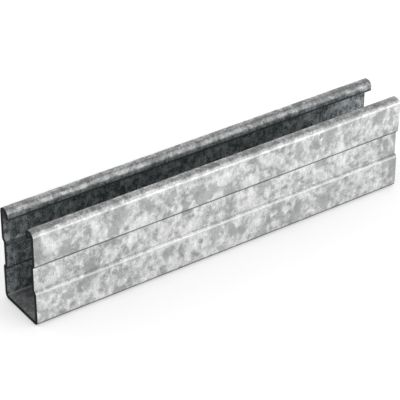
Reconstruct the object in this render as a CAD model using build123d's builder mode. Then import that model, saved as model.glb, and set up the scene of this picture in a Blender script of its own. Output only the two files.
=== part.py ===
from build123d import *
from math import cos, radians, tan
import os

# Deep strut channel: one length of steel strip, cold rolled to shape and galvanised.
# All lengths are in millimetres and all angles in degrees.
#
# Frame: X runs along the channel, Y across it and Z up. The web lies on the floor at Z = 0
# with the slot between the lips facing up, and the origin is the middle of the web's underside.

# Overall size
channel_length = 300.0
channel_width = 41.3
channel_height = 72.0
sheet_thickness = 2.75

# Lips: each one runs in from the top of a wall and turns down towards the web
lip_width = 9.5
lip_depth = 7.3
lip_bend_inside = 1.4

# Bends between the web and the walls
web_bend_inside = 1.0

# Groove pressed into the middle of each wall from outside. Its opening is measured between
# the sharp corners that the bends round off, and its steps turn away from the wall's face.
groove_depth = 2.1
groove_opening = 20.2
groove_step_angle = 60.0
groove_bend_inside = 0.3

# The two bends of a lip share the lip's width, and the two bends of a step share its depth.
# Their inside radius takes no more than this share of the room that the sheet leaves them.
bend_share = 0.98
lip_bend_room = lip_width / 2 - sheet_thickness
lip_bend_inner = min(lip_bend_inside, bend_share * lip_bend_room)
step_reach = groove_depth / (1 - cos(radians(groove_step_angle)))
groove_bend_room = (step_reach - sheet_thickness) / 2
groove_bend_inner = min(groove_bend_inside, bend_share * groove_bend_room)

# The face on the far side of a bend is one sheet thickness larger
web_bend_outer = web_bend_inside + sheet_thickness
lip_bend_outer = lip_bend_inner + sheet_thickness
groove_bend_outer = groove_bend_inner + sheet_thickness

# Places on the outside of one wall, counted outwards from the middle of the web, and up
wall_face = channel_width / 2
groove_floor = wall_face - groove_depth
lip_face = wall_face - lip_width
lip_end = channel_height - lip_depth
groove_bottom = (channel_height - groove_opening) / 2
groove_top = (channel_height + groove_opening) / 2
step_height = groove_depth / tan(radians(groove_step_angle))

# Half of the section's outer face, from the middle of the web to the end of the lip
outer_points = [
    (0, 0),
    (wall_face, 0),
    (wall_face, groove_bottom),
    (groove_floor, groove_bottom + step_height),
    (groove_floor, groove_top - step_height),
    (wall_face, groove_top),
    (wall_face, channel_height),
    (lip_face, channel_height),
    (lip_face, lip_end),
]

# One radius for each corner between them: outer where the sheet turns in, inner where it turns out
outer_radii = [
    web_bend_outer,
    groove_bend_outer,
    groove_bend_inner,
    groove_bend_inner,
    groove_bend_outer,
    lip_bend_outer,
    lip_bend_outer,
]

# The strip's section: its outer face, the same line one sheet thickness inside it, the two ends
# joined, and the mirror image of all that. It stands at the back end and is drawn out forwards.
with BuildPart() as strut_channel:
    with BuildSketch(Plane.YZ.offset(-channel_length / 2)):
        with BuildLine():
            outer_face = FilletPolyline(*outer_points, radius=outer_radii)
            offset(outer_face, amount=sheet_thickness, side=Side.LEFT)
        make_face()
        mirror(about=Plane.YZ)
    extrude(amount=channel_length)

strut_channel.part.label = "strut_channel"

os.makedirs("parts", exist_ok=True)
export_step(strut_channel.part, "parts/strut_channel.step")
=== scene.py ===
# %% [markdown]
# # Dressing a galvanised strut channel
#
# The part is one length of steel strip that rollers have bent into a deep channel. It has a
# flat web, two side walls with a groove pressed into each, and two lips that turn in and down
# beside a slot. It is taken to be coated with zinc and then cut to length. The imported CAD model
# has its exact size and stays as the fixed frame. Here the same section is rolled again as a
# smooth mesh with eased edges. It then gets its zinc, its cut ends, a studio and a camera. Tones
# were set by comparing greys with the photo, so some of them correct this scene's own light.

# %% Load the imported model
import bmesh
import bpy
import math
from mathutils import Matrix, Vector


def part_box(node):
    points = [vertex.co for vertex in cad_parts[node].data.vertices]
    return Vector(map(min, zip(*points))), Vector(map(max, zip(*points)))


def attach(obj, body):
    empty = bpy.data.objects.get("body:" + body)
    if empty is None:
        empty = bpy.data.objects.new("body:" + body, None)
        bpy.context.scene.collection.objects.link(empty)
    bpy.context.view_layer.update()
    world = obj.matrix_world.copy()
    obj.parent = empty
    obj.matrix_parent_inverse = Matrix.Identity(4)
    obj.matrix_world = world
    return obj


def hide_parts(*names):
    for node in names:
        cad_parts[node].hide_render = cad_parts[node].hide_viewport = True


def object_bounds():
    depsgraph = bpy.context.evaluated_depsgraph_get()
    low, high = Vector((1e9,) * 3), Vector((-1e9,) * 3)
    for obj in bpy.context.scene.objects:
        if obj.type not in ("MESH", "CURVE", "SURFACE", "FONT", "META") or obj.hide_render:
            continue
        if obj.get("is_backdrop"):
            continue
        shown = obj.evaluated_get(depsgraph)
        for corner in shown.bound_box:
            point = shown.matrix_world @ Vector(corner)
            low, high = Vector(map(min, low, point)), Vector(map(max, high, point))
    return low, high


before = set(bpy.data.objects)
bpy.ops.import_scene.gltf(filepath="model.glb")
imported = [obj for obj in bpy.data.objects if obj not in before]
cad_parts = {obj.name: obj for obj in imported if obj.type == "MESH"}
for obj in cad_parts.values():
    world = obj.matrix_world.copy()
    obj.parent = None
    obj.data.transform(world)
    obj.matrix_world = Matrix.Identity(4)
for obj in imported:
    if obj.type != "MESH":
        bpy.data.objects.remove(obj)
cad_low, cad_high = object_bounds()
print("CAD box from", tuple(cad_low), "to", tuple(cad_high))

# %% [markdown]
# ## The sizes of the section
#
# A roller drawing gives the outside of the section as a line with sharp corners, and a bend
# radius for each corner. Half of the section is enough, because the other half is its mirror
# image. The three overall sizes come from the CAD node, so that the mesh can't drift from it.
# The small sizes are the ones that the CAD model was drawn with.

# %% Overall size
MM = 0.001
node_low, node_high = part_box("strut_channel")
channel_length = node_high.x - node_low.x
channel_width = node_high.y - node_low.y
channel_height = node_high.z - node_low.z
print("length, width, height in mm:",
      [round(size / MM, 2) for size in (channel_length, channel_width, channel_height)])

# %% Sheet, lips and groove
sheet_thickness = 2.75 * MM
lip_width = 9.5 * MM
lip_depth = 7.3 * MM
groove_depth = 2.1 * MM
groove_opening = 20.2 * MM
groove_step_angle = math.radians(60)
groove_step_height = groove_depth / math.tan(groove_step_angle)
print("each step of the groove is", round(groove_step_height / MM, 2), "mm high")

# %% Outside radius of each kind of bend
web_bend = 3.75 * MM
lip_bend = 4.15 * MM
groove_bend_in = 3.05 * MM
groove_bend_out = 0.3 * MM
print("outside radii in mm:",
      [round(bend / MM, 2) for bend in (web_bend, lip_bend, groove_bend_in, groove_bend_out)])

# %% The sharp corners of half the outside, across (Y) and up (Z), with the bend at each one
wall_face = channel_width / 2
groove_floor = wall_face - groove_depth
lip_face = wall_face - lip_width
lip_end = channel_height - lip_depth
groove_bottom = (channel_height - groove_opening) / 2
groove_top = (channel_height + groove_opening) / 2

rolled_corners = [
    (Vector((wall_face, 0)), web_bend),
    (Vector((wall_face, groove_bottom)), groove_bend_in),
    (Vector((groove_floor, groove_bottom + groove_step_height)), groove_bend_out),
    (Vector((groove_floor, groove_top - groove_step_height)), groove_bend_out),
    (Vector((wall_face, groove_top)), groove_bend_in),
    (Vector((wall_face, channel_height)), lip_bend),
    (Vector((lip_face, channel_height)), lip_bend),
]
strip_end = Vector((lip_face, lip_end))
print(len(rolled_corners), "bends on each side of the web")

# %% [markdown]
# ## Small helpers for modelling
#
# An operator acts on everything that is selected, and loading the frame leaves the CAD node
# selected. So each step first drops the selection and then picks what it needs, by place.

# %% Deselect, and take one piece in hand
def deselect_all():
    """Leaves edit mode and drops the selection."""
    if bpy.context.object and bpy.context.object.mode != "OBJECT":
        bpy.ops.object.mode_set(mode="OBJECT")
    bpy.ops.object.select_all(action="DESELECT")


def take(piece):
    """Makes this piece the only selected and active object."""
    deselect_all()
    piece.select_set(True)
    bpy.context.view_layer.objects.active = piece


# %% Pick edges or faces of the piece in hand
def pick(kind, test):
    """Selects the faces or edges of the mesh in edit mode that pass the test, and says how many."""
    bpy.ops.mesh.select_mode(type=kind)
    bpy.ops.mesh.select_all(action="DESELECT")
    mesh = bmesh.from_edit_mesh(bpy.context.object.data)
    parts = mesh.faces if kind == "FACE" else mesh.edges
    chosen = [part for part in parts if test(part)]
    for part in chosen:
        part.select_set(True)
    bmesh.update_edit_mesh(bpy.context.object.data)
    return len(chosen)


# %% [markdown]
# ## Half of the web
#
# A rolling mill bends a flat strip a little at each pair of rollers, and the mesh is made in
# the same order. It starts as a plane, which is half of the web. The plane stops where the
# first bend starts, and that is short of the sharp corner by the bend's tangent length.

# %% A plane for half of the web
def tangent_length(turn, radius):
    """How far from the sharp corner a bend starts."""
    return radius * math.tan(abs(turn) / 2)


half_web = wall_face - tangent_length(math.radians(90), web_bend)

deselect_all()
bpy.ops.mesh.primitive_plane_add(size=1, location=(0, half_web / 2, 0))
rolled_channel = bpy.context.object
rolled_channel.name = "rolled_channel"
bpy.ops.transform.resize(value=(channel_length, half_web, 1))
bpy.ops.object.transform_apply(location=True, rotation=True, scale=True)
print("half of the web:", round(half_web / MM, 2), "mm wide")

# %% [markdown]
# ## Rolling the strip
#
# The plane's free edge is taken round each bend with Spin and along each straight run with
# Extrude, until it reaches the lip's end. Spin turns the edge about the middle of the bend, so
# each bend is a true arc. Bevelling sharp corners would be quicker, but a bevel gives true arcs
# only at right angles, and the steps of the groove are bent by 60 degrees.

# %% Find the free edge
SAME_PLACE = 0.001 * MM


def pick_free_edge(edge_place):
    """Selects the edge along X that lies at this place across and up."""
    def lies_there(edge):
        return all((Vector(end.co.yz) - edge_place).length < SAME_PLACE for end in edge.verts)
    return pick("EDGE", lies_there)


# %% One bend and one straight run
degrees_per_step = 6


def turned(direction, angle):
    """A direction across and up, turned from across towards up."""
    return Matrix.Rotation(angle, 2) @ direction


def roll_bend(edge_place, heading, angle, radius):
    """Spins the free edge round one bend and returns its new place and heading.

    Seen from the axis, Spin turns clockwise, so it gets the angle with its sign changed.
    """
    side = 1 if angle > 0 else -1
    centre = edge_place + turned(heading, side * math.pi / 2) * radius
    steps = round(abs(math.degrees(angle)) / degrees_per_step)
    pick_free_edge(edge_place)
    bpy.ops.mesh.spin(steps=steps, angle=-angle, axis=(1, 0, 0), center=(0, *centre))
    return centre + turned(edge_place - centre, angle), turned(heading, angle)


def roll_straight(edge_place, heading, length):
    """Extrudes the free edge straight on and returns its new place."""
    pick_free_edge(edge_place)
    shift = heading * length
    bpy.ops.mesh.extrude_edges_move(TRANSFORM_OT_translate={"value": (0, *shift)})
    return edge_place + shift


# %% The turn at each corner
corners = [corner for corner, radius in rolled_corners] + [strip_end]
along_the_web = Vector((1, 0))
turns = []
heading = along_the_web
for corner, after in zip(corners, corners[1:]):
    turns.append(-heading.angle_signed(after - corner))
    heading = (after - corner).normalized()
print("turns in degrees:", [round(math.degrees(turn)) for turn in turns])

# %% Bend and extrude, corner by corner
take(rolled_channel)
bpy.ops.object.mode_set(mode="EDIT")

edge_place = Vector((half_web, 0))
heading = along_the_web
for number, (corner, radius) in enumerate(rolled_corners):
    edge_place, heading = roll_bend(edge_place, heading, turns[number], radius)
    used_by_bends = tangent_length(turns[number], radius)
    if number + 1 < len(turns):
        used_by_bends += tangent_length(turns[number + 1], rolled_corners[number + 1][1])
    run = (corners[number + 1] - corner).length - used_by_bends
    edge_place = roll_straight(edge_place, heading, run)
    print("bend", number + 1, "then", round(run / MM, 2), "mm straight")

print("the strip ends at", [round(value / MM, 3) for value in edge_place], "mm across and up")

# %% [markdown]
# ## The other half, and the sheet's thickness
#
# Mirror copies the half across the middle of the web and joins the two there. A mirrored half
# can be inside out, so the normals are made to agree, and one face of the web tells whether
# they all have to be flipped. Solidify then gives the sheet its thickness, inwards from the
# outside face. Even thickness keeps it the same in the bends as in the flats.

# %% Mirror the half across the web's middle
bpy.ops.object.mode_set(mode="OBJECT")
other_half = rolled_channel.modifiers.new("other_half", "MIRROR")
other_half.use_axis = (False, True, False)
other_half.merge_threshold = SAME_PLACE
bpy.ops.object.modifier_apply(modifier=other_half.name)
print("both halves:", len(rolled_channel.data.polygons), "faces")

# %% Turn every face outwards
bpy.ops.object.mode_set(mode="EDIT")
bpy.ops.mesh.select_all(action="SELECT")
bpy.ops.mesh.remove_doubles(threshold=SAME_PLACE)
bpy.ops.mesh.normals_make_consistent(inside=False)
lowest = min(bmesh.from_edit_mesh(rolled_channel.data).faces,
             key=lambda face: face.calc_center_median().z)
if lowest.normal.z > 0:
    bpy.ops.mesh.flip_normals()
    print("flipped the normals, which pointed into the channel")
bpy.ops.object.mode_set(mode="OBJECT")

# %% Give the sheet its thickness
thickness = rolled_channel.modifiers.new("thickness", "SOLIDIFY")
thickness.thickness = sheet_thickness
thickness.offset = -1
thickness.use_even_offset = True
bpy.ops.object.modifier_apply(modifier=thickness.name)
print("sheet with two sides:", len(rolled_channel.data.polygons), "faces")

# %% [markdown]
# ## Eased edges
#
# The saw and the slitting knives leave edges that are never quite sharp, and zinc rounds them
# a little more. A narrow bevel on every right-angled edge catches the light as the real ones
# do. Its width is a guess, because the photo is too coarse to show it. The bends turn by a few
# degrees at a time, so an angle limit tells them from the edges.
# Weighted normals keep the large flats shading flat beside the bevel.

# %% Bevel the right-angled edges
edge_ease = 0.18 * MM
ease = rolled_channel.modifiers.new("eased_edges", "BEVEL")
ease.width = edge_ease
ease.segments = 2
ease.limit_method = "ANGLE"
ease.angle_limit = math.radians(60)
ease.use_clamp_overlap = False
bpy.ops.object.modifier_apply(modifier=ease.name)
print("edges eased by", round(edge_ease / MM, 2), "mm:", len(rolled_channel.data.polygons), "faces")

# %% Smooth the bends and keep the flats flat
bpy.ops.object.shade_smooth_by_angle(angle=math.radians(50))
flats = rolled_channel.modifiers.new("flat_flats", "WEIGHTED_NORMAL")
flats.keep_sharp = True
bpy.ops.object.modifier_apply(modifier=flats.name)
print("eased channel:", len(rolled_channel.data.polygons), "faces, box in mm",
      [round(size / MM, 3) for size in rolled_channel.dimensions])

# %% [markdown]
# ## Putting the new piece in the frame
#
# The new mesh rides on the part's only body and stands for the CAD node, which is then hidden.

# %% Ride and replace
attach(rolled_channel, "root")
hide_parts("strut_channel")
print(rolled_channel.name, "rides on the root and stands for the CAD node")

# %% [markdown]
# ## Writing materials as sums
#
# A material is a tree of nodes, and long sums of Math nodes are hard to read as nodes. So a
# node's output is wrapped in a small class, Signal. Adding or multiplying signals in Python
# adds the Math nodes. Any other node comes from one method that takes its type, its settings
# and what goes into its sockets.

# %% A node's output that can be used in sums
class Signal:
    """One output socket of a node."""

    def __init__(self, sheet, socket):
        self.sheet = sheet
        self.socket = socket

    def output(self, name):
        """Another output of the same node."""
        return Signal(self.sheet, self.socket.node.outputs[name])

    def sum_node(self, operation, first, second):
        """A Math node on two values."""
        return self.sheet.add("ShaderNodeMath", {"operation": operation}, {0: first, 1: second})

    def __add__(self, other):
        return self.sum_node("ADD", self, other)

    def __radd__(self, other):
        return self.sum_node("ADD", other, self)

    def __sub__(self, other):
        return self.sum_node("SUBTRACT", self, other)

    def __rsub__(self, other):
        return self.sum_node("SUBTRACT", other, self)

    def __mul__(self, other):
        return self.sum_node("MULTIPLY", self, other)

    def __rmul__(self, other):
        return self.sum_node("MULTIPLY", other, self)

    def __gt__(self, other):
        return self.sum_node("GREATER_THAN", self, other)

    def __abs__(self):
        return self.sum_node("ABSOLUTE", self, 0.0)


# %% The sheet that nodes are added to
NOISE_MEAN = 0.5


class NodeSheet:
    """The node tree of a material or of the world."""

    def __init__(self, owner):
        owner.use_nodes = True
        self.tree = owner.node_tree
        self.tree.nodes.clear()

    def add(self, kind, settings, sockets, output=0):
        """Adds a node, sets it up, fills its sockets and returns one of its outputs."""
        node = self.tree.nodes.new(kind)
        for name, value in settings.items():
            setattr(node, name, value)
        for name, value in sockets.items():
            if isinstance(value, Signal):
                self.tree.links.new(value.socket, node.inputs[name])
            else:
                node.inputs[name].default_value = value
        return Signal(self, node.outputs[output]) if node.outputs else None

    def step(self, signal, start, end):
        """0 below start and 1 above end, with a soft rise between them."""
        settings = {"interpolation_type": "SMOOTHSTEP"}
        sockets = {"Value": signal, "From Min": start, "From Max": end}
        return self.add("ShaderNodeMapRange", settings, sockets)

    def band(self, signal, low, high, fade):
        """1 between low and high, with a soft edge of this width outside each of them."""
        return self.step(signal, low - fade, low) * (1 - self.step(signal, high, high + fade))

    def tint(self, share, first, second):
        """The first colour where share is 0, and the second where it is 1."""
        settings = {"data_type": "RGBA"}
        return self.add("ShaderNodeMix", settings, {0: share, 6: first, 7: second}, output=2)

    def scaled(self, place, size, shift=0.0):
        """The place counted in pattern lengths along X, Y and Z, which are given in metres."""
        per_metre = tuple(1 / length for length in size)
        return self.add("ShaderNodeVectorMath", {"operation": "MULTIPLY_ADD"},
                        {0: place, 1: per_metre, 2: (shift, shift, shift)})

    def noise(self, place, size, detail=2.0, roughness=0.5, twist=0.0, shift=0.0):
        """Soft random marks of this size along X, Y and Z, in metres. Their mean is 0."""
        sockets = {"Vector": self.scaled(place, size, shift), "Scale": 1.0, "Detail": detail,
                   "Roughness": roughness, "Distortion": twist}
        return self.add("ShaderNodeTexNoise", {}, sockets) - NOISE_MEAN

    def dots(self, place, size, inner, outer):
        """Round spots, one in each cell of this size: 1 within inner and 0 beyond outer."""
        sockets = {"Vector": self.scaled(place, size), "Scale": 1.0}
        away = self.add("ShaderNodeTexVoronoi", {}, sockets, output="Distance")
        return 1 - self.step(away, inner, outer)


def in_mm(*lengths):
    """Lengths given in millimetres, in metres."""
    return tuple(length * MM for length in lengths)


# %% [markdown]
# ## Zinc: where its pattern is read
#
# Hot zinc sets on the steel as a dull, cloudy skin that goes round every bend. A picture would
# need an unwrapped mesh, and its seams and repeats would show. Noise that is read at Object
# coordinates fills space instead, so it runs round the bends by itself and never repeats. The
# whole pattern can be slid through the metal. This slide was picked out of ten, because its
# pale and dark patches lie evenly along the near wall.

# %% Zinc: the material and its coordinates
zinc = bpy.data.materials.new("hot_dip_zinc")
skin = NodeSheet(zinc)
spot = skin.add("ShaderNodeTexCoord", {}, {}, output="Object")
spot_across = skin.add("ShaderNodeSeparateXYZ", {}, {"Vector": spot}, output="Y")
spot_height = spot_across.output("Z")

pattern_slide = (0.74, 0.42, 0.26)
pattern = skin.add("ShaderNodeVectorMath", {"operation": "ADD"}, {0: spot, 1: pattern_slide})
print("the zinc pattern is slid by", pattern_slide, "m")

# %% [markdown]
# ## Zinc: patches
#
# Three broad patterns make the large forms: soft clouds, calm dull blots, and paler frosted
# patches. Each is a noise whose patches are a little over 10 mm wide. A step then cuts it at a
# level. Limits that lie far apart leave a soft edge, as on the clouds, and close ones give a
# patch with an outline, as on the blots.

# %% Zinc: clouds, blots and frost
cloud_noise = skin.noise(pattern, in_mm(13, 13, 14), detail=1.0, twist=0.4)
blot_noise = skin.noise(pattern, in_mm(12.5, 12.5, 15.5), detail=2.0, twist=0.2, shift=5.3)
frost_noise = skin.noise(pattern, in_mm(12.5, 12.5, 16), detail=2.0, twist=0.2, shift=3.7)
clouds = skin.step(cloud_noise, -0.16, 0.16)
blots = skin.step(blot_noise, 0.03, 0.12)
frost = skin.step(frost_noise, 0.0, 0.12)
frost_beside_blots = frost * (1 - blots)
print("patches are 12.5 to 16 mm across")

# %% [markdown]
# ## Zinc: small marks
#
# Between the patches the skin is mottled. Upright runs look as if the zinc drained off. Round
# dark spots and pale leaning dabs lie among them, and a fine grain covers everything. The runs
# and the grain are a little longer across the channel than along it, so that they also show on
# the tops of the lips. Each kind of mark is a pattern of its own, because then its size and
# strength can be set alone.

# %% Zinc: mottle, runs, spots, dabs and grain
dabs_lean = math.radians(-35)
leaning = skin.add("ShaderNodeMapping", {}, {"Vector": pattern, "Rotation": (0.0, dabs_lean, 0.0)})
dab_noise = skin.noise(leaning, in_mm(2.4, 2.4, 5.0), detail=1.5, shift=9.7)
dabs = skin.step(dab_noise, 0.08, 0.22)
spots = skin.dots(pattern, in_mm(8.0, 8.0, 8.4), 0.20, 0.36)
mottle = skin.noise(pattern, in_mm(4.4, 4.4, 4.8), detail=2.5, roughness=0.6, twist=0.3)
runs = skin.noise(pattern, in_mm(1.4, 4.0, 6.5), detail=1.0, shift=2.1)
grain = skin.noise(pattern, in_mm(0.8, 1.2, 1.0), detail=2.0)
print("small marks are 0.8 to 8.4 mm across, and the dabs lean by 35 degrees")

# %% [markdown]
# ## Zinc: one grey from all marks
#
# The marks are added up to one number, shade, which is 0 at the dullest zinc and about 1 at the
# palest. Each strength below says how far its mark moves that number. Blots and frost are
# calmer than the rest of the skin, so the small marks fade on them. The tops of the lips have
# more marks than the walls.

# %% Zinc: how strong each mark is
base_grey = 0.28
cloud_strength = 0.18
blot_strength = 0.25
frost_strength = 0.24
mottle_strength = 1.8
spot_strength = 0.27
dab_strength = 0.26
extra_dabs_on_lips = 0.45
run_strength = 0.12
extra_runs_on_frost = 0.45
extra_runs_on_lips = 0.50
grain_strength = 0.85
extra_grain_on_lips = 0.75
calm_on_blots = 0.85
calm_on_frost = 0.5

# %% Zinc: the sum
lip_top = skin.step(spot_height, channel_height - 2.5 * MM, channel_height - 0.5 * MM)
dab_depth = dab_strength + lip_top * extra_dabs_on_lips
run_depth = run_strength + frost_beside_blots * extra_runs_on_frost + lip_top * extra_runs_on_lips
grain_depth = grain_strength + lip_top * extra_grain_on_lips
calm = (1 - blots * calm_on_blots) * (1 - frost * calm_on_frost)
small_marks = mottle * mottle_strength + dabs * dab_depth - spots * spot_strength

shade = base_grey + clouds * cloud_strength - blots * blot_strength
shade = shade + frost_beside_blots * frost_strength + small_marks * calm
shade = shade + runs * run_depth + grain * grain_depth
print("the shade takes", len(zinc.node_tree.nodes), "nodes")

# %% [markdown]
# ## Zinc: strips along the channel
#
# Some strips of the channel look different in the photo, such as its inner side, two ridges and
# the places where it turns under. They could be painted on the mesh. But the section is the same
# all along, so the distance from the middle and the height above the floor find each strip.

# %% Zinc: find the outer side and a strip
outer_side = skin.step(abs(spot_across), groove_floor - 0.5 * MM, groove_floor - 0.3 * MM)


def strip(from_height, start, end, fade):
    """A strip all along the channel, from start to end in millimetres above a given height."""
    return skin.band(spot_height, from_height + start * MM, from_height + end * MM, fade * MM)


# %% [markdown]
# ## Zinc: the inner side
#
# The photo is much darker inside the channel than outside. Shade explains most of that: with
# the outer zinc on both sides, the middle and the left of the inside keep the photo's grey. But
# near the right end the outer zinc mirrors the white studio and comes out 20 to 84 levels too
# light. So the inner side gets darker greys, which are painted shade, and a rougher and less
# metallic zinc, with no frost and with stronger mottle and grain. It corrects this scene's light
# and isn't known to be a finish of the real sheet. The crease between web and wall is paler in
# the photo, and so it is here.

# %% Zinc: how far the inner side reaches
above_web = skin.step(spot_height, 1.0 * MM, 5.0 * MM)
below_lip_top = 1 - skin.step(spot_height, channel_height - 5.5 * MM, channel_height - 0.5 * MM)
inner_side = (1 - outer_side) * above_web * below_lip_top
crease = strip(sheet_thickness, 0.1, 0.8, fade=0.1)
print("the outer side starts", round((groove_floor - 0.5 * MM) / MM, 2), "mm from the middle")

# %% Zinc: the inner side's own shade
inner_base_grey = 0.34
inner_cloud_strength = 0.20
inner_blot_strength = 0.12
inner_spot_strength = 0.14
inner_mottle_strength = 2.7
inner_run_strength = 0.8
inner_grain_strength = 2.2
crease_strength = 0.85
inner_shade = inner_base_grey + clouds * inner_cloud_strength - blots * inner_blot_strength
inner_shade = inner_shade - spots * inner_spot_strength + mottle * inner_mottle_strength
inner_shade = inner_shade + runs * inner_run_strength + grain * inner_grain_strength
inner_shade = inner_shade + crease * crease_strength

# %% [markdown]
# ## Zinc: painted sheen on two ridges
#
# In the photo two ridges of the near wall show as even pale lines: the round bend of the lip,
# and the lower rim of the groove. The lamp's reflection lies on both. The marks are weakened
# there and pulled towards one plain grey, so that the reflection runs on evenly: this is painted
# sheen. They may be worn off the real metal or only drowned in its shine, and the photo doesn't
# tell. The weakened zinc is a mix of the marked shade and one plain grey, because the grey alone
# would wipe the marks out.

# %% Zinc: painted sheen on the ridges
sheen_grey = 0.42
lip_sheen = 0.45
groove_sheen = 0.6
lip_ridge = strip(channel_height, -3.4, -1.6, fade=0.8)
groove_ridge = strip(groove_bottom, -1.3, -0.3, fade=0.5)
# Along both ridges the marks are evened towards one grey, as painted sheen.
sheen_share = (lip_ridge * lip_sheen + groove_ridge * groove_sheen) * outer_side
shade = shade + (sheen_grey - shade) * sheen_share
print("rubbing takes", lip_sheen, "of the marks off the lips and", groove_sheen, "off the rims")

# %% [markdown]
# ## Zinc: painted shade where the metal turns under
#
# The photo is darker above each groove, along the bottom bends, on the inner lower steps, under
# the inner ridges, under the lips and on their edges. It is a little darker on the bends beside
# the slot and hardly at all on the groove's lower rim. Nearly all of these places face down or
# lie under something, where shade falls. But the pale floor of this scene lights them from below,
# and above the groove they would come out about 40 levels too light. So this shade is painted
# into the zinc's colour, as strips that are darkened towards a near-black.

# %% Zinc: strips of painted shade
above_groove = strip(groove_top, -1.4, 0.5, fade=0.6)
groove_rim = strip(groove_bottom, -1.1, -0.3, fade=0.5)
bottom_bend = 1 - skin.step(spot_height, 2.3 * MM, 3.4 * MM)
inner_step = strip(groove_bottom, -2.1, 0.3, fade=0.5)
below_ridge = strip(groove_top, -3.2, -0.6, fade=1.2)

lip_back = lip_face + sheet_thickness
on_lip = 1 - skin.step(abs(spot_across), lip_back - 0.9 * MM, lip_back + 0.1 * MM)
lip_edge = strip(lip_end, -0.2, 1.0, fade=0.9) * on_lip
under_lip = strip(lip_end, 0.8, 4.6, fade=1.0) * (1 - on_lip)
beside_slot = skin.band(abs(spot_across), lip_back - 1.9 * MM, lip_back, 0.7 * MM)
slot_bend = beside_slot * skin.step(spot_height, channel_height - 2.2 * MM, channel_height - 1.7 * MM)

# %% Zinc: how much painted shade in all
# Each share darkens its strip towards near-black, which is painted shade.
painted_shade_patchiness = 0.6
outer_painted_shade = (above_groove * 0.76 + bottom_bend * 0.76 + groove_rim * 0.10) * outer_side
inner_painted_shade = (inner_step * 0.95 + below_ridge * 0.60 + under_lip * 0.60) * (1 - outer_side)
lip_painted_shade = lip_edge * 0.90 + slot_bend * 0.24
painted_shade_share = (outer_painted_shade + inner_painted_shade + lip_painted_shade) * (1 + mottle * painted_shade_patchiness)
print("with the inner side and the grime it is", len(zinc.node_tree.nodes), "nodes")

# %% [markdown]
# ## Zinc: colour, shine and relief
#
# Zinc is a metal, so its colour tints what it mirrors. The pale marks are a little smoother
# than the dull ones, and the inner side is made rougher, as said above. The relief is very low,
# because the coat is only about a tenth of a millimetre thick, and it follows the same marks as
# the colour.

# %% Zinc: colour
zinc_dark = (0.325, 0.333, 0.330, 1.0)
zinc_pale = (0.900, 0.903, 0.900, 1.0)
# The inner greys are darker than the outer ones, and that darkness is painted shade.
shaded_inner_dark = (0.085, 0.100, 0.104, 1.0)
shaded_inner_pale = (0.522, 0.558, 0.570, 1.0)
# The near-black that the strips are darkened to, which is painted shade.
painted_shade = (0.045, 0.050, 0.053, 1.0)
outer_zinc = skin.tint(shade, zinc_dark, zinc_pale)
shaded_inner_zinc = skin.tint(inner_shade, shaded_inner_dark, shaded_inner_pale)
zinc_colour = skin.tint(painted_shade_share, skin.tint(inner_side, outer_zinc, shaded_inner_zinc), painted_shade)

# %% Zinc: shine
outer_metallic = 0.95
inner_metallic = 0.60
outer_roughness = 0.48
inner_roughness = 0.68
smoother_when_pale = 0.12
grain_roughness = 0.1
zinc_metallic = outer_metallic + inner_side * (inner_metallic - outer_metallic)
zinc_roughness = outer_roughness + inner_side * (inner_roughness - outer_roughness)
zinc_roughness = zinc_roughness - shade * smoother_when_pale + grain * grain_roughness
print("roughness is", outer_roughness, "outside and", inner_roughness, "inside")

# %% Zinc: relief
relief_depth = 0.2 * MM
relief_strength = 0.12
relief_height = mottle * 0.8 + runs * 0.4 + grain * 0.3
zinc_relief = skin.add("ShaderNodeBump", {}, {
    "Height": relief_height,
    "Strength": relief_strength,
    "Distance": relief_depth,
})

# %% Zinc: the finished material
zinc_shader = skin.add("ShaderNodeBsdfPrincipled", {}, {
    "Base Color": zinc_colour,
    "Roughness": zinc_roughness,
    "Metallic": zinc_metallic,
    "Normal": zinc_relief,
})
skin.add("ShaderNodeOutputMaterial", {}, {"Surface": zinc_shader})
print("zinc:", len(zinc.node_tree.nodes), "nodes")

# %% [markdown]
# ## Cut ends
#
# The cut ends are nearly black in the photo, where they are two pixels wide. They are taken as
# bare steel, cut after the coating. To match, they are set far darker than such steel usually
# is, and nearly dull: the steel is real, and its near-black is painted shade. The fine saw marks
# across them are a guess. They are a noise that is long across the channel and very short up it.

# %% Cut steel
cut_steel = bpy.data.materials.new("cut_steel")
cut = NodeSheet(cut_steel)
cut_spot = cut.add("ShaderNodeTexCoord", {}, {}, output="Object")
saw_marks = cut.noise(cut_spot, in_mm(50, 10, 0.5), detail=2.0, roughness=0.6)
stains = cut.noise(cut_spot, in_mm(6, 4, 4), detail=2.0)
cut_shade = cut.step(saw_marks * 0.5 + stains * 0.5, -0.2, 0.2)
# The near-black of the cut ends is painted shade, far darker than bare steel.
cut_dark = (0.003, 0.0035, 0.004, 1.0)
cut_pale = (0.014, 0.015, 0.016, 1.0)
cut_roughness = 0.60
cut_gloss = 0.05
saw_depth = 0.1 * MM
saw_strength = 0.2
cut_relief = cut.add("ShaderNodeBump", {}, {
    "Height": saw_marks,
    "Strength": saw_strength,
    "Distance": saw_depth,
})
cut_shader = cut.add("ShaderNodeBsdfPrincipled", {}, {
    "Base Color": cut.tint(cut_shade, cut_dark, cut_pale),
    "Roughness": cut_roughness,
    "Specular IOR Level": cut_gloss,
    "Normal": cut_relief,
})
cut.add("ShaderNodeOutputMaterial", {}, {"Surface": cut_shader})
print("cut steel:", len(cut_steel.node_tree.nodes), "nodes")

# %% Give the end faces the cut steel, and all the rest the zinc
rolled_channel.data.materials.append(zinc)
rolled_channel.data.materials.append(cut_steel)
cut_steel_slot = 1
lean_of_an_end = 0.3
take(rolled_channel)
bpy.ops.object.mode_set(mode="EDIT")
end_faces = pick("FACE", lambda face: abs(face.normal.x) > lean_of_an_end)
rolled_channel.active_material_index = cut_steel_slot
bpy.ops.object.material_slot_assign()
bpy.ops.object.mode_set(mode="OBJECT")
print("cut steel on", end_faces, "faces")

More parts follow.
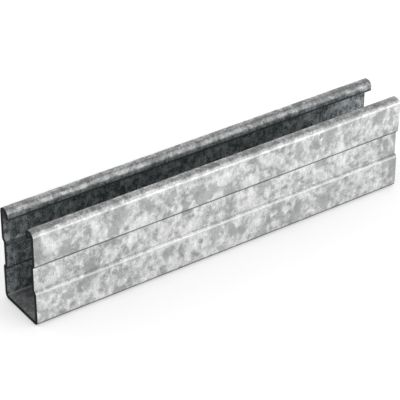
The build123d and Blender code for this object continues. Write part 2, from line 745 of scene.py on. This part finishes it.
# %% [markdown]
# ## Floor
#
# The channel lies on a plain pale floor. A floor lit brightly enough to look white would throw
# too much light up at the metal, so part of its white is a glow of its own. Only the camera and
# reflections see that glow. The rest is plain paint, which takes the channel's shadow.

# %% Which rays see the white
def seen_directly(sheet):
    """1 for rays from the camera, a reflection or a see-through surface, and 0 for light itself."""
    path = sheet.add("ShaderNodeLightPath", {}, {}, output="Is Camera Ray")
    return (path + path.output("Is Glossy Ray") + path.output("Is Transmission Ray")) > 0.5


# %% Floor
floor_size = 8
floor_gap = 0.05 * MM
deselect_all()
bpy.ops.mesh.primitive_plane_add(size=floor_size, location=(0, 0, -floor_gap))
floor = bpy.context.object
floor.name = "studio_floor"
floor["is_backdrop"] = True
print("the floor lies", round(floor_gap / MM, 2), "mm below the web")

# %% Floor: glow and paint
floor_glow = 0.35
floor_paint = 0.80
pale_floor = bpy.data.materials.new("pale_floor")
ground = NodeSheet(pale_floor)
glow = ground.add("ShaderNodeEmission", {}, {"Strength": seen_directly(ground) * floor_glow})
paint = ground.add("ShaderNodeBsdfDiffuse", {}, {"Color": (floor_paint, floor_paint, floor_paint, 1.0)})
glow_and_paint = ground.add("ShaderNodeAddShader", {}, {0: glow, 1: paint})
ground.add("ShaderNodeOutputMaterial", {}, {"Surface": glow_and_paint})
floor.data.materials.append(pale_floor)
print("floor:", floor_size, "m wide, glow", floor_glow, "and paint", floor_paint)

# %% [markdown]
# ## Background
#
# The studio around the channel is plain white, and metal shows it. The tops of the lips mirror
# what is overhead, and they are greyer than the walls, so the white falls to less than half
# towards the ceiling. What lights the channel without being mirrored is a little stronger than
# the white that is seen.

# %% White studio with a greyer ceiling
ambient = 1.6
ceiling_white = 0.45
ceiling_starts = 0.10
ceiling_is_full = 0.50
studio = bpy.data.worlds.new("white_studio")
bpy.context.scene.world = studio
air = NodeSheet(studio)
seen = seen_directly(air)
direction = air.add("ShaderNodeTexCoord", {}, {}, output="Generated")
upwards = air.add("ShaderNodeSeparateXYZ", {}, {"Vector": direction}, output="Z")
ceiling = air.step(upwards, ceiling_starts, ceiling_is_full)
whiteness = 1 - ceiling * (1 - ceiling_white)
background = air.add("ShaderNodeBackground", {}, {
    "Color": (1.0, 1.0, 1.0, 1.0),
    "Strength": whiteness * (seen + (1 - seen) * ambient),
})
air.add("ShaderNodeOutputWorld", {}, {"Surface": background})
print("background: 1 at the horizon and", ceiling_white, "overhead, times", ambient, "as light")

# %% [markdown]
# ## Light
#
# A wide soft box stands low in front and to the right. It makes the near wall bright, and its
# reflection is the pale line along the lip's bend. It stands to the side, because from straight
# ahead it would wash the wall out for anyone who looks at it from the front. A second box
# stands high in front and reaches into the channel, down to the web.

# %% Soft boxes
channel_middle = Vector((0, 0, channel_height / 2))


def soft_box(name, place, width, height, power):
    """A rectangular lamp that looks from its place at the channel, in metres and watts."""
    lamp = bpy.data.lights.new(name, "AREA")
    lamp.shape = "RECTANGLE"
    lamp.size = width
    lamp.size_y = height
    lamp.energy = power
    holder = bpy.data.objects.new(name, lamp)
    holder.location = place
    way_to_channel = channel_middle - Vector(place)
    holder.rotation_euler = way_to_channel.to_track_quat("-Z", "Y").to_euler()
    holder.visible_camera = False
    bpy.context.scene.collection.objects.link(holder)
    print(name, "of", power, "W,", round(way_to_channel.length, 2), "m away")


soft_box("low_front_box", place=(0.84, -1.58, 0.16), width=1.2, height=0.40, power=5.7)
soft_box("high_front_box", place=(0.60, -1.10, 1.25), width=1.4, height=1.2, power=4.8)

# %% [markdown]
# ## Camera
#
# The place, heading and lens were fitted to the edges of the channel in the photograph. The
# camera's matrix is built from the directions in which it looks and in which its right side
# points, because these come straight out of the fit.

# %% Camera
camera_place = Vector((-0.61535, -0.86678, 0.71566))
camera_forward = Vector((0.48284, 0.68862, -0.54098)).normalized()
camera_right = Vector((0.8198, -0.57265, 0.00277)).normalized()
camera_up = camera_right.cross(camera_forward).normalized()

camera_data = bpy.data.cameras.new("photo_camera")
camera_data.lens = 166.20
camera_data.sensor_width = 36.0
camera = bpy.data.objects.new("photo_camera", camera_data)
camera_turn = Matrix((camera_right, camera_up, -camera_forward)).transposed().to_4x4()
camera.matrix_world = Matrix.Translation(camera_place) @ camera_turn
bpy.context.scene.collection.objects.link(camera)
bpy.context.scene.camera = camera
print("camera:", round(camera_place.length, 2), "m from the origin, lens", camera_data.lens, "mm")

# %% [markdown]
# ## Colours and the last check
#
# The Standard view shows colours as they are written. The box of the dressed channel is then
# compared with the CAD box once more, because the mesh has to keep the size of the part.

# %% Colours as they are written
bpy.context.scene.view_settings.view_transform = "Standard"
print("view transform:", bpy.context.scene.view_settings.view_transform)

# %% Compare the boxes and finish
new_low, new_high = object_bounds()
box_changes = [abs(new - old) for new, old in zip((*new_low, *new_high), (*cad_low, *cad_high))]
print("largest difference between the boxes in mm:", round(max(box_changes) / MM, 4))
